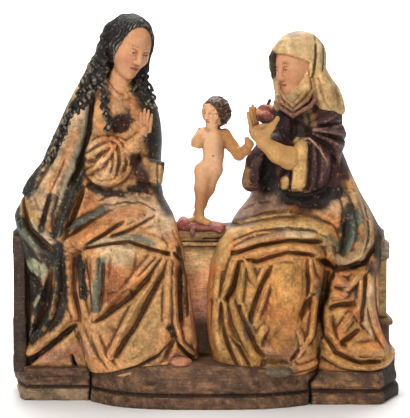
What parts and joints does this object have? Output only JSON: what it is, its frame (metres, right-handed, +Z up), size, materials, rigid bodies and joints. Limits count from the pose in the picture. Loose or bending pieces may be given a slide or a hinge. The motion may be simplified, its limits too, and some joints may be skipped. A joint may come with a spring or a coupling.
{
  "type": "carved figure group",
  "caption": "Carved and painted wood group: two women in long draped robes sit on a bench over a moulded base, with a small standing child between them.",
  "frame": {"origin": "middle of the underside of the base", "axes": "+X to the viewer's right along the bench, +Y from the carved front to the flat back, +Z up"},
  "size_m": [0.746, 0.2681, 0.7248],
  "materials": {
    "carved_group": "worn and flaking paint and gilding over carved wood",
    "child": "aged flesh-coloured paint over carved wood"
  },
  "bodies": {
    "root": {"carved_group": "carved_group", "child": "child"}
  },
  "joints": []
}
